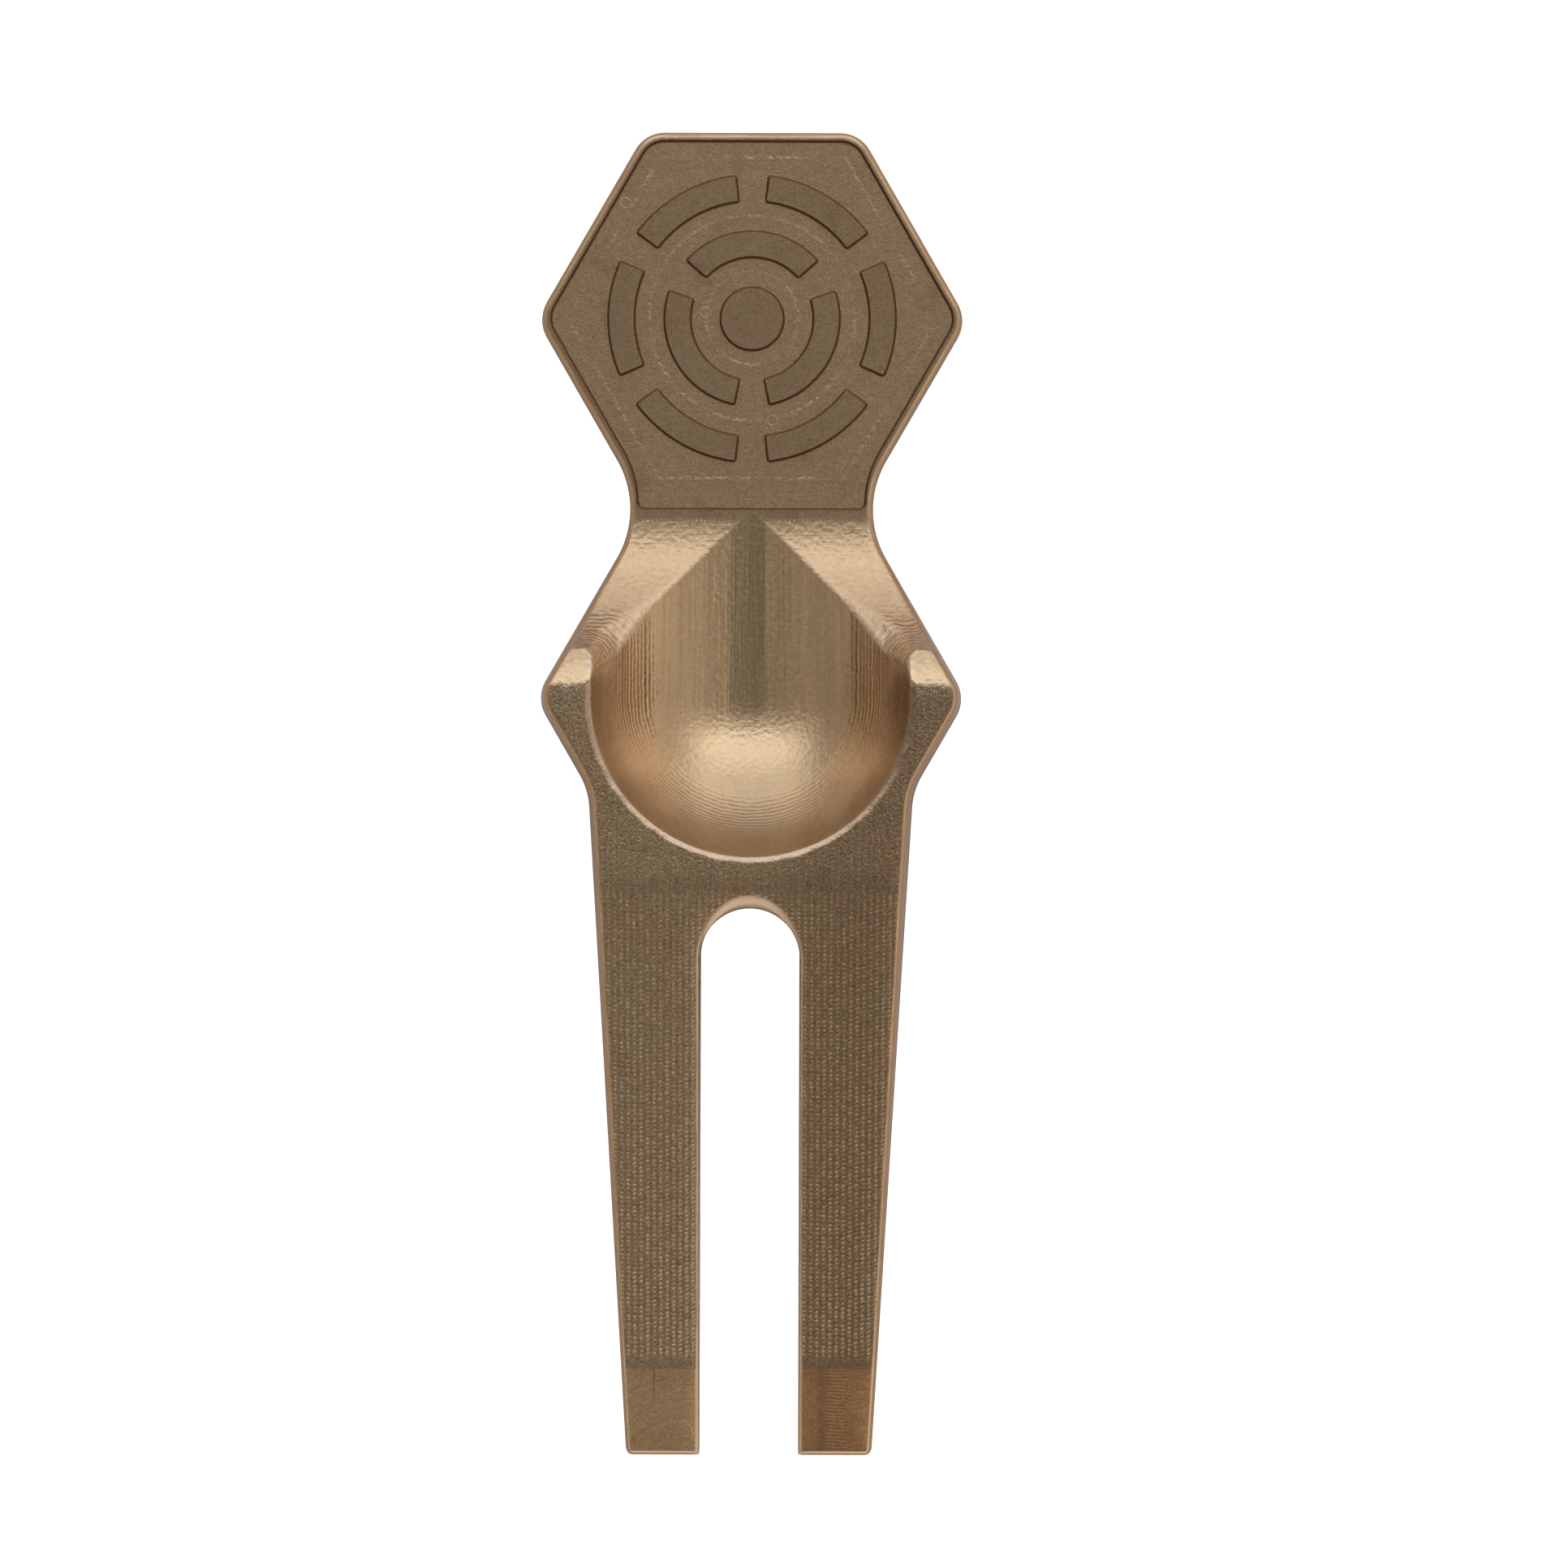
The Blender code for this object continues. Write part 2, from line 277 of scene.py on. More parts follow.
def add_line(loop, start, end, marks):
    """Points strictly between two ends of a straight side, with one at each marked y."""
    length = (end - start).length
    along = (end - start) / length
    normal = Vector((along.y, -along.x))
    count = max(1, round(length / LINE_STEP))
    places = [length * i / count for i in range(1, count)]
    for y in marks:
        if abs(along.y) > 0.1 and 0.6 < (y - start.y) / along.y < length - 0.6:
            place = (y - start.y) / along.y
            places = [p for p in places if abs(p - place) > LINE_STEP * 0.6]
            places.append(place)
    for place in sorted(places):
        loop.add(start + along * place, normal)


def rounded(corners, marks=()):
    """Loop from corners given as (x, y, radius), counter-clockwise."""
    count = len(corners)
    spots = [Vector(c[:2]) for c in corners]
    loop = Loop()
    tangents = []
    pieces = []
    for i in range(count):
        piece = Loop()
        before = (spots[i - 1] - spots[i]).normalized()
        after = (spots[(i + 1) % count] - spots[i]).normalized()
        tangents.append(add_arc(piece, spots[i], before, after, corners[i][2]))
        pieces.append(piece)
    for i in range(count):
        for row in zip(pieces[i].points, pieces[i].normals, pieces[i].limits, pieces[i].slides):
            loop.add(*row)
        start = tangents[i][1]
        end = tangents[(i + 1) % count][0]
        if (end - start).length > 0.05:
            add_line(loop, start, end, marks)
    return loop


def mirrored(right):
    return right + [(-x, y, r) for x, y, r in reversed(right)]


def tool_outline():
    neck_y = (HEAD_CENTRE_Y + BODY_CENTRE_Y) / 2
    neck_x = HEX_RADIUS - (HEAD_CENTRE_Y - neck_y) / math.sqrt(3)
    shoulder_y = BODY_CENTRE_Y - (HEX_RADIUS - TINE_ROOT_HALF_WIDTH) * math.sqrt(3)
    right = [
        (SLOT_HALF_WIDTH, SLOT_END_Y, SLOT_HALF_WIDTH - 0.001),
        (SLOT_HALF_WIDTH, TIP_Y, TIP_INNER_RADIUS),
        (TINE_TIP_HALF_WIDTH, TIP_Y, TIP_OUTER_RADIUS),
        (TINE_ROOT_HALF_WIDTH, shoulder_y, SHOULDER_RADIUS),
        (HEX_RADIUS, BODY_CENTRE_Y, HEX_CORNER_RADIUS),
        (neck_x, neck_y, NECK_RADIUS),
        (HEX_RADIUS, HEAD_CENTRE_Y, HEX_CORNER_RADIUS),
        (HEX_RADIUS / 2, HEAD_TOP_Y, HEX_CORNER_RADIUS),
    ]
    return rounded(mirrored(right), marks=(TINE_SLOPE_Y, TIP_LAND_Y))


def pocket_outline():
    radius = (HEX_ACROSS_FLATS - 2 * POCKET_RIM) / math.sqrt(3)
    neck_y = HEAD_CENTRE_Y - (radius - POCKET_FOOT_HALF_WIDTH) * math.sqrt(3)
    right = [
        (POCKET_FOOT_HALF_WIDTH, POCKET_FOOT_Y, 0.5),
        (POCKET_FOOT_HALF_WIDTH, neck_y, 7.0),
        (radius, HEAD_CENTRE_Y, POCKET_CORNER_RADIUS),
        (radius / 2, HEAD_TOP_Y - POCKET_RIM, POCKET_CORNER_RADIUS),
    ]
    return rounded(mirrored(right))


def arc_drop(y, start_y, radius, start_angle, end_angle):
    """Fall of a round shoulder below its start, where y runs on from start_y."""
    sine = np.clip((y - start_y) / radius + math.sin(start_angle), 0, math.sin(end_angle))
    return radius * (math.cos(start_angle) - np.sqrt(1 - sine**2))


def ramp_height(y):
    """Height of the ramp's arc, carried on straight above its steep end."""
    reach = np.clip((RAMP_START_Y - y) / RAMP_RADIUS, 0, math.sin(RAMP_ANGLE))
    beyond = np.clip(RAMP_END_Y - y, 0, None) * math.tan(RAMP_ANGLE)
    return HEAD_THICKNESS + RAMP_RADIUS * (1 - np.sqrt(1 - reach**2)) + beyond


def front_height(y):
    """Height of the front face, without cradle or pocket, by distance along the tool."""
    y = np.asarray(y, dtype=float)
    slope = (THICKNESS - TIP_THICKNESS) / (TINE_SLOPE_Y - TIP_LAND_Y)
    tine = TIP_THICKNESS + np.clip(y - TIP_LAND_Y, 0, None) * slope
    crest = THICKNESS - arc_drop(y, CREST_Y, CREST_RADIUS, CREST_ANGLE, BROW_ANGLE)
    brow = THICKNESS - CREST_RISE - arc_drop(y, BROW_END_Y, BROW_RADIUS, BROW_ANGLE, RAMP_ANGLE)
    height = np.where(y < RAMP_END_Y, brow, ramp_height(y))
    height = np.where(y < BROW_END_Y, crest, height)
    height = np.where(y < CREST_Y, THICKNESS, height)
    return np.where(y < TINE_SLOPE_Y, tine, height)


def cradle_height(x, y):
    """Height of the round channel with its ball end. Infinite outside the channel."""
    behind = np.minimum(y - BODY_CENTRE_Y, 0)
    inside = CRADLE_RADIUS**2 - x**2 - behind**2
    depth = np.sqrt(np.clip(inside, 0, None))
    return np.where(inside > 0, HEAD_THICKNESS + CRADLE_RADIUS - depth, np.inf)


def lower_of(a, b, blend):
    """Lower of two surfaces, with the edge between them rounded."""
    overlap = np.clip(1 - np.abs(a - b) / blend, 0, None)
    return np.minimum(a, b) - overlap**2 * blend / 4


def ridge_blend(depth):
    """Rounding of the ridge between ramp and cradle: crisp near the head, broad near the top."""
    return np.clip(0.13 * depth + 0.031 * depth**3, 1e-9, RIDGE_BLEND_LIMIT)


def surface_height(x, y):
    """Front face with the cradle cut in, its lip broken and the ridge below it rounded."""
    x = np.asarray(x, dtype=float)
    turn = np.arctan2(y - BODY_CENTRE_Y, x)
    wavy = 1 + 0.15 * np.sin(31 * turn) * np.sin(7 * turn + 1)
    out = np.hypot(x, np.minimum(y - BODY_CENTRE_Y, 0))
    lip = THICKNESS - LIP_SLOPE * np.clip(LIP_RADIUS + LIP_WIDTH * wavy - out, 0, None)
    face = np.where(out > LIP_RADIUS - LIP_WIDTH, np.minimum(front_height(y), lip), front_height(y))
    ramp = ramp_height(y)
    cradle = np.minimum(cradle_height(x, y), ramp + RIDGE_BLEND_LIMIT)
    cut = lower_of(ramp, cradle, ridge_blend(np.minimum(ramp, cradle) - HEAD_THICKNESS))
    blend = LIP_BLEND * np.clip(RAMP_END_Y - y, 1e-9, 1)
    return np.where(y > RAMP_END_Y, cut, lower_of(face, cut, blend))


def cradle_half_width(y):
    """Half width of the cradle's own finish, which ends before the rounding of the ridge."""
    depths = np.linspace(0, CRADLE_RADIUS, 400)
    below_ridge = depths + RIDGE_FINISH * ridge_blend(depths)
    depth = np.interp(ramp_height(y) - HEAD_THICKNESS, below_ridge, depths)
    depth = np.minimum(depth, front_height(y) - HEAD_THICKNESS)
    depth = np.where(y < BODY_CENTRE_Y, CRADLE_DEPTH, depth)
    behind = np.minimum(y - BODY_CENTRE_Y, 0)
    ball = np.sqrt(np.clip(LIP_RADIUS**2 - behind**2, 0, None))
    return np.minimum(np.sqrt(2 * CRADLE_RADIUS * depth - depth**2), ball)


def cradle_edge():
    """Plan curve round the cradle's finish, from the apex round the ball end."""
    apex_y = RAMP_START_Y - ARC_STEP
    places = np.arange(apex_y - 0.05, BODY_CENTRE_Y, -0.02)
    dense = np.column_stack((cradle_half_width(places), places))
    length = np.cumsum(np.hypot(*np.diff(dense, axis=0, prepend=dense[:1]).T))
    stops = np.arange(0, length[-1] - ARC_STEP / 2, ARC_STEP)
    ridge = np.column_stack([np.interp(stops, length, dense[:, i]) for i in (0, 1)])
    turn = -np.linspace(0, math.pi, math.ceil(math.pi * LIP_RADIUS / ARC_STEP) + 1)
    bowl = np.column_stack((LIP_RADIUS * np.cos(turn), BODY_CENTRE_Y + LIP_RADIUS * np.sin(turn)))
    return np.vstack(([(0, apex_y)], ridge, bowl, ridge[::-1] * (-1, 1)))


def softened(profile, radius):
    """Open polyline with each inner corner turned into a small arc."""
    points = [Vector(p) for p in profile]
    result = [points[0]]
    for previous, corner, following in zip(points, points[1:], points[2:]):
        before = (previous - corner).normalized()
        after = (following - corner).normalized()
        half = before.angle(after) / 2
        shorter = min((previous - corner).length, (following - corner).length)
        reach = min(radius / math.tan(half), 0.4 * shorter)
        first = corner + before * reach
        last = corner + after * reach
        for i in range(CORNER_STEPS + 1):
            t = i / CORNER_STEPS
            result.append(first * (1 - t) ** 2 + corner * 2 * t * (1 - t) + last * t**2)
    result.append(points[-1])
    return [(p.x, p.y) for p in result]


class Solid:
    """Vertices and faces of one closed body in millimetres, each face with its finish."""

    def __init__(self):
        self.vertices = []
        self.faces = []
        self.finishes = []

    def ring(self, points, heights):
        first = len(self.vertices)
        heights = np.broadcast_to(heights, (len(points),))
        self.vertices += [(float(p[0]), float(p[1]), float(z)) for p, z in zip(points, heights)]
        return list(range(first, len(self.vertices)))

    def face(self, indices, finish):
        if callable(finish):
            finish = finish(*np.mean([self.vertices[i][:2] for i in indices], axis=0))
        self.faces.append(indices)
        self.finishes.append(finish)

    def strip(self, outer, inner, finish):
        """Quads between two rings of equal length. The outer one is anticlockwise seen from outside."""
        for i in range(len(outer)):
            j = (i + 1) % len(outer)
            self.face((outer[i], outer[j], inner[j], inner[i]), finish)

    def stack(self, rings, finish):
        for outer, inner in zip(rings, rings[1:]):
            self.strip(outer, inner, finish)

    def fill(self, outer, holes, spots, chains, height, finish, flip=False):
        """Triangles between a ring and its holes, through free spots and along fixed chains."""
        fixed = list(outer)
        edges = closed_edges(0, len(outer))
        for hole in holes:
            edges += closed_edges(len(fixed), len(hole))
            fixed += hole
        plan = [Vector(self.vertices[i][:2]) for i in fixed]
        for chain, closed in chains:
            first = len(plan)
            plan += [Vector(p) for p in chain]
            edges += [(i, i + 1) for i in range(first, len(plan) - 1)]
            if closed:
                edges.append((len(plan) - 1, first))
        plan += [Vector(p) for p in spots]
        points, _, triangles, sources, _, _ = delaunay_2d_cdt(plan, edges, [], 1, 1e-6)
        index = []
        for point, source in zip(points, sources):
            known = [s for s in source if s < len(fixed)]
            if known:
                index.append(fixed[known[0]])
            else:
                index.append(len(self.vertices))
                self.vertices.append((point.x, point.y, float(height(point.x, point.y))))
        corners = np.array([tuple(p) for p in points])
        middles = corners[np.array(triangles)].mean(axis=1)
        keep = np.ones(len(triangles), dtype=bool)
        for hole in holes:
            keep &= ~inside(middles, np.array([self.vertices[i][:2] for i in hole]))
        for triangle, kept in zip(triangles, keep):
            if kept:
                order = reversed(triangle) if flip else triangle
                self.face(tuple(index[i] for i in order), finish)


def closed_edges(first, count):
    return [(first + i, first + (i + 1) % count) for i in range(count)]


def inside(points, polygon):
    """Which points lie inside a polygon, by counting crossings."""
    result = np.zeros(len(points), dtype=bool)
    x, y = points[:, 0], points[:, 1]
    for a, b in zip(polygon, np.roll(polygon, -1, axis=0)):
        if a[1] == b[1]:
            continue
        spans = (a[1] > y) != (b[1] > y)
        crossing = (b[0] - a[0]) * (y - a[1]) / (b[1] - a[1]) + a[0]
        result ^= spans & (x < crossing)
    return result


def ring_piece(outer_radius, pieces, middle):
    """Band of one badge ring: a strip laid out flat and then bent round the head's centre."""
    mid_radius = outer_radius - BADGE_LINE / 2
    reach = (math.pi * mid_radius / pieces) - BADGE_GAP / 2
    half = BADGE_LINE / 2
    ends = [(reach, -half), (reach, half), (-reach, half), (-reach, -half)]
    loop = rounded([(x, y, BADGE_CORNER_RADIUS) for x, y in ends])

    def bend(points):
        angle = middle - points[:, 0] / mid_radius
        radius = mid_radius + points[:, 1]
        return np.column_stack((radius * np.cos(angle), HEAD_CENTRE_Y + radius * np.sin(angle)))

    loop.bend = bend
    return loop


def disc():
    loop = Loop()
    for i in range(DISC_STEPS):
        angle = 2 * math.pi * i / DISC_STEPS
        spoke = Vector((math.cos(angle), math.sin(angle)))
        loop.add(Vector((0, HEAD_CENTRE_Y)) + spoke * DISC_RADIUS, spoke)
    return loop


def badge_loops():
    """Outer ring in six pieces, inner ring in three, and the disc in the middle."""
    loops = [disc()]
    for radius, pieces, turn in ((OUTER_RING_RADIUS, 6, 0), (INNER_RING_RADIUS, 3, math.pi / 2)):
        for i in range(pieces):
            loops.append(ring_piece(radius, pieces, turn + 2 * math.pi * i / pieces))
    return loops


def at_slot_end(x, y):
    """Whether a place on the wall is on the round closed end of the slot."""
    foot_y = SLOT_END_Y - SLOT_HALF_WIDTH - 0.1
    return abs(x) < SLOT_HALF_WIDTH + 0.1 and foot_y < y < SLOT_END_Y + 1


def bevel_slide(y, drop):
    """How far the bevel moves the slot's end towards the head, at a drop below the front face."""
    slide = np.zeros_like(y)
    for _ in range(BEVEL_ROUNDS):
        slide = SLOT_BEVEL * np.clip(front_height(y + slide) - drop - SLOT_BEVEL_FOOT, 0, None)
    return slide


def outer_rings(solid, outline):
    """Rings from the back face, up the drafted wall and over the chamfer to the front face."""
    edge = np.array(outline.points)
    in_slot = (np.abs(edge[:, 0]) < SLOT_HALF_WIDTH + 0.1) & (edge[:, 1] < SLOT_END_Y + 1)
    draft = np.where(in_slot, 0, WALL_DRAFT)
    bevelled = in_slot & (edge[:, 1] > SLOT_END_Y - SLOT_HALF_WIDTH - 0.01)
    top = front_height(edge[:, 1])
    foot = [(BACK_CHAMFER + 0.1, 0), (BACK_CHAMFER, 0), (0, BACK_CHAMFER), (0, BACK_CHAMFER + 0.1)]
    rings = []
    for inset, z in softened(foot, EDGE_RADIUS):
        rings.append(solid.ring(outline.inset(inset), z))
    bevel_foot = np.minimum(top - FRONT_CHAMFER - 0.2, SLOT_BEVEL_FOOT)
    rings.append(solid.ring(outline.inset(draft * (bevel_foot - BACK_CHAMFER)), bevel_foot))
    rim = [(0, FRONT_CHAMFER + 0.1), (0, FRONT_CHAMFER)]
    for inset, drop in softened(rim + WORN_EDGE[:1], EDGE_RADIUS) + WORN_EDGE[1:]:
        plan = outline.inset(inset + draft * (top - drop - BACK_CHAMFER))
        plan[:, 1] += np.where(bevelled, bevel_slide(edge[:, 1], drop), 0)
        rings.append(solid.ring(plan, front_height(plan[:, 1]) - drop))
    return rings


def chain_between(start, end, step):
    """Points along a straight line from one to the other, both included."""
    count = max(1, round(float(np.hypot(*(np.array(end) - start))) / step))
    return [tuple(np.array(start) + (np.array(end) - start) * i / count) for i in range(count + 1)]


def nearest(points, target):
    distances = np.hypot(points[:, 0] - target[0], points[:, 1] - target[1])
    return tuple(points[int(distances.argmin())])


def level_with(rim, side, y):
    """Point of the outer rim on one side of the tool that is level with y."""
    outer = rim[rim[:, 0] * side > (SLOT_HALF_WIDTH + TINE_TIP_HALF_WIDTH) / 2]
    return tuple(outer[int(np.abs(outer[:, 1] - y).argmin())])


def creases(rim, edge):
    """Lines across the front face where its slope changes at once."""
    lines = []
    for side in (-1, 1):
        lines.append((level_with(rim, side, CREST_Y), nearest(edge, (side * LIP_RADIUS, CREST_Y))))
        inner = nearest(rim, (side * SLOT_HALF_WIDTH, TIP_LAND_Y))
        lines.append((level_with(rim, side, TIP_LAND_Y), inner))
    lines.append((level_with(rim, -1, TINE_SLOPE_Y), level_with(rim, 1, TINE_SLOPE_Y)))
    return [(chain_between(start, end, LINE_STEP), False) for start, end in lines]


def apart(candidates, taken, gap):
    """Candidates that keep a gap from all the points already taken."""
    tree = kdtree.KDTree(len(taken))
    for i, point in enumerate(taken):
        tree.insert((point[0], point[1], 0), i)
    tree.balance()
    return [p for p in candidates if tree.find((p[0], p[1], 0))[2] > gap]


def grid(x_range, y_range, step):
    rows = np.arange(y_range[0], y_range[1], step * math.sqrt(3) / 2)
    points = []
    for i, y in enumerate(rows):
        for x in np.arange(x_range[0] + step / 2 * (i % 2), x_range[1], step):
            points.append((x, y))
    return np.array(points)


def front_spots(rim, hole, edge, chains):
    """Free points of the front face: bands along the cradle's edge, and two grids."""
    taken = [tuple(p) for p in rim] + [tuple(p) for p in hole] + [tuple(p) for p in edge]
    for chain, _ in chains:
        taken += [tuple(p) for p in chain]
    fixed = len(taken)
    along = np.roll(edge, -1, axis=0) - np.roll(edge, 1, axis=0)
    normal = np.column_stack((along[:, 1], -along[:, 0])) / np.hypot(along[:, 0], along[:, 1])[:, None]
    last = 0
    for reach in EDGE_BANDS:
        gap = (reach - last) * 0.7
        for side in (-1, 1):
            band = edge + normal * reach * side
            band = band[inside(band, rim) & ~inside(band, hole)]
            taken += apart(band, taken, gap)
        last = reach
    wide = HEX_RADIUS
    fine_foot = BODY_CENTRE_Y - CRADLE_RADIUS
    fine_top = RAMP_START_Y + 0.5
    for y in np.arange(BROW_END_Y - BROW_ROW_STEP, RAMP_END_Y + 0.1, BROW_ROW_STEP):
        row = np.array([(x, y) for x in np.arange(-wide, wide, BROW_STEP)])
        taken += apart(row[inside(row, rim)], taken, 0.05)
    for x_range, y_range, step in (
        ((-HORN_OUTER_X, -HORN_INNER_X), (HORN_FOOT_Y, RAMP_END_Y), HORN_STEP),
        ((HORN_INNER_X, HORN_OUTER_X), (HORN_FOOT_Y, RAMP_END_Y), HORN_STEP),
        ((-wide, wide), (fine_foot, fine_top), FINE_STEP),
        ((-wide, wide), (TIP_Y, fine_foot), COARSE_STEP),
        ((-wide, wide), (fine_top, HEAD_TOP_Y), COARSE_STEP),
    ):
        candidates = grid(x_range, y_range, step)
        candidates = candidates[inside(candidates, rim) & ~inside(candidates, hole)]
        taken += apart(candidates, taken, step * 0.6)
    return taken[fixed:]


def plain_spots(outer, holes, step):
    taken = [tuple(p) for ring in [outer] + holes for p in ring]
    x_range = (outer[:, 0].min(), outer[:, 0].max())
    y_range = (outer[:, 1].min(), outer[:, 1].max())
    candidates = grid(x_range, y_range, step)
    free = inside(candidates, outer)
    for hole in holes:
        free &= ~inside(candidates, hole)
    return apart(candidates[free], taken, step * 0.6)


def plan_of(solid, ring):
    return np.array([solid.vertices[i][:2] for i in ring])


def front_finish(x, y):
    if y > LAND_FOOT_Y:
        return "land"
    if y < TIP_LAND_Y:
        return "tip"
    if abs(x) < cradle_half_width(y):
        return "cradle"
    if y > CREST_Y:
        return "ramp"
    if math.hypot(x, min(y - BODY_CENTRE_Y, 0)) < LIP_RADIUS + 0.95 * LIP_WIDTH:
        return "lip"
    return "dotted"


def badge(solid, floor_holes):
    """Islands left standing in the pocket, each with its wall and its flat top."""
    for loop in badge_loops():
        rings = []
        for inset, drop in softened(POCKET_WALL, EDGE_RADIUS)[::-1]:
            rings.append(solid.ring(loop.inset(-inset), HEAD_THICKNESS + drop))
        solid.stack(rings[:2], "pocket_floor")
        solid.stack(rings[1:], "pocket_wall")
        floor_holes.append(rings[0])
        top = plan_of(solid, rings[-1])
        spots = plain_spots(top, [], COARSE_STEP)
        solid.fill(rings[-1], [], spots, [], lambda x, y: HEAD_THICKNESS, "land")


def pocket(solid):
    """Pocket wall and floor. Returns the ring where the pocket meets the land round it."""
    outline = pocket_outline()
    rings = []
    for inset, drop in softened(POCKET_WALL, EDGE_RADIUS):
        rings.append(solid.ring(outline.inset(inset), HEAD_THICKNESS + drop))
    solid.stack(rings[:-1], "pocket_wall")
    solid.stack(rings[-2:], "pocket_floor")
    holes = []
    badge(solid, holes)
    spots = plain_spots(plan_of(solid, rings[-1]), [plan_of(solid, h) for h in holes], COARSE_STEP)
    floor = HEAD_THICKNESS - POCKET_DEPTH
    solid.fill(rings[-1], holes, spots, [], lambda x, y: floor, "pocket_floor")
    return rings[0]


def tool_solid():
    solid = Solid()
    rings = outer_rings(solid, tool_outline())
    worn = len(WORN_EDGE)
    below_chamfer = len(rings) - worn - CORNER_STEPS - 2
    solid.stack(rings[:below_chamfer + 1], "wall")
    chamfer = rings[below_chamfer:1 - worn]
    solid.stack(chamfer, lambda x, y: "slot_chamfer" if at_slot_end(x, y) else "wall")
    solid.stack(rings[-worn:-1], "edge")
    solid.stack(rings[-2:], front_finish)
    mouth = pocket(solid)
    rim = plan_of(solid, rings[-1])
    hole = plan_of(solid, mouth)
    edge = cradle_edge()
    chains = creases(rim, edge) + [([tuple(p) for p in edge], True)]
    spots = front_spots(rim, hole, edge, chains)
    solid.fill(rings[-1], [mouth], spots, chains, surface_height, front_finish)
    back = plain_spots(plan_of(solid, rings[0]), [], 2 * COARSE_STEP)
    solid.fill(rings[0], [], back, [], lambda x, y: 0, "back", flip=True)
    return solid


def tool_object(solid, materials):
    mesh = bpy.data.meshes.new("milled_tool")
    mesh.from_pydata([(x * MM, y * MM, z * MM) for x, y, z in solid.vertices], [], solid.faces)
    names = list(materials)
    for material in materials.values():
        mesh.materials.append(material)
    for polygon, finish in zip(mesh.polygons, solid.finishes):
        polygon.material_index = names.index(finish)
        polygon.use_smooth = True
    mesh.set_sharp_from_angle(angle=math.radians(40))
    mesh.update()
    tool = bpy.data.objects.new("milled_tool", mesh)
    bpy.context.scene.collection.objects.link(tool)
    return tool


class Value:
    """Number worked out in a node tree. Arithmetic on it adds Math nodes."""

    def __init__(self, nodes, socket):
        self.nodes = nodes
        self.socket = socket

    def __add__(self, other):
        return self.nodes.math("ADD", self, other)

    def __sub__(self, other):
        return self.nodes.math("SUBTRACT", self, other)

    def __rsub__(self, other):
        return self.nodes.math("SUBTRACT", other, self)

    def __mul__(self, other):
        return self.nodes.math("MULTIPLY", self, other)

    def __abs__(self):
        return self.nodes.math("ABSOLUTE", self)


class Nodes:
    """Adds nodes to one tree."""

    def __init__(self, tree):
        self.tree = tree

    def add(self, kind, inputs=None, **settings):
        node = self.tree.nodes.new(kind)
        for name, value in settings.items():
            setattr(node, name, value)
        for name, value in (inputs or {}).items():
            self.plug(node.inputs[name], value)
        return node

    def plug(self, socket, value):
        if isinstance(value, Value):
            value = value.socket
        if isinstance(value, bpy.types.NodeSocket):
            self.tree.links.new(value, socket)
        elif isinstance(value, tuple) and socket.type == "RGBA":
            socket.default_value = (*value, 1)
        else:
            socket.default_value = value

    def math(self, operation, *operands):
        node = self.add("ShaderNodeMath", operation=operation)
        for socket, value in zip(node.inputs, operands):
            self.plug(socket, value)
        return Value(self, node.outputs[0])

    def greater(self, a, b):
        return self.math("MAXIMUM", a, b)

    def length(self, a, b):
        return self.math("SQRT", a * a + b * b)

    def smooth(self, value, zero, one):
        """0 at one end and 1 at the other, eased in between."""
        falling = zero > one
        node = self.add("ShaderNodeMapRange", {"Value": value}, interpolation_type="SMOOTHSTEP")
        node.inputs["From Min"].default_value = min(zero, one)
        node.inputs["From Max"].default_value = max(zero, one)
        node.inputs["To Min"].default_value = 1 if falling else 0
        node.inputs["To Max"].default_value = 0 if falling else 1
        return Value(self, node.outputs["Result"])

    def line(self, distance, half_width):
        """1 on a line and 0 beside it."""
        return self.smooth(abs(distance), half_width, 0)

    def vector(self, x, y, z):
        return self.add("ShaderNodeCombineXYZ", {"X": x, "Y": y, "Z": z}).outputs[0]

    def noise(self, place, size, detail=2.0):
        """Noise about zero, mostly within 0.5, from lumps of a size given along each axis."""
        sizes = size if isinstance(size, tuple) else (size, size, size)
        scaled = self.vector(*[part * (1 / length) for part, length in zip(place, sizes)])
        node = self.add("ShaderNodeTexNoise", {"Vector": scaled, "Scale": 1.0, "Detail": detail})
        return self.math("MULTIPLY_ADD", Value(self, node.outputs[0]), 2, -1)

    def random(self, a, b):
        """Number from 0 to 1 for each pair of whole numbers."""
        spot = self.vector(a, b, 0.5)
        node = self.add("ShaderNodeTexWhiteNoise", {"Vector": spot}, noise_dimensions="3D")
        return Value(self, node.outputs["Value"])

    def mix(self, amount, colour, other):
        node = self.add("ShaderNodeMix", data_type="RGBA")
        self.plug(node.inputs[0], amount)
        self.plug(node.inputs[6], colour)
        self.plug(node.inputs[7], other)
        return node.outputs[2]

    def tint(self, amount, colour):
        node = self.add("ShaderNodeVectorMath", operation="SCALE")
        self.plug(node.inputs[0], colour)
        self.plug(node.inputs["Scale"], amount)
        return node.outputs[0]

    def total(self, a, b):
        node = self.add("ShaderNodeVectorMath", operation="ADD")
        self.plug(node.inputs[0], a)
        self.plug(node.inputs[1], b)
        return node.outputs[0]


def patina(nodes, place, colour):
    """Broad clouds of a browner and a pinker tone."""
    broad = nodes.noise(place, 5.0, 3.0)
    blotch = nodes.smooth(nodes.noise(place, 2.2), 0.15, 0.6)
    clouded = nodes.mix(nodes.smooth(broad, -0.5, 0.6) * 0.35, colour, RED_COPPER)
    return nodes.mix(blotch * 0.3, clouded, BROWN_COPPER)


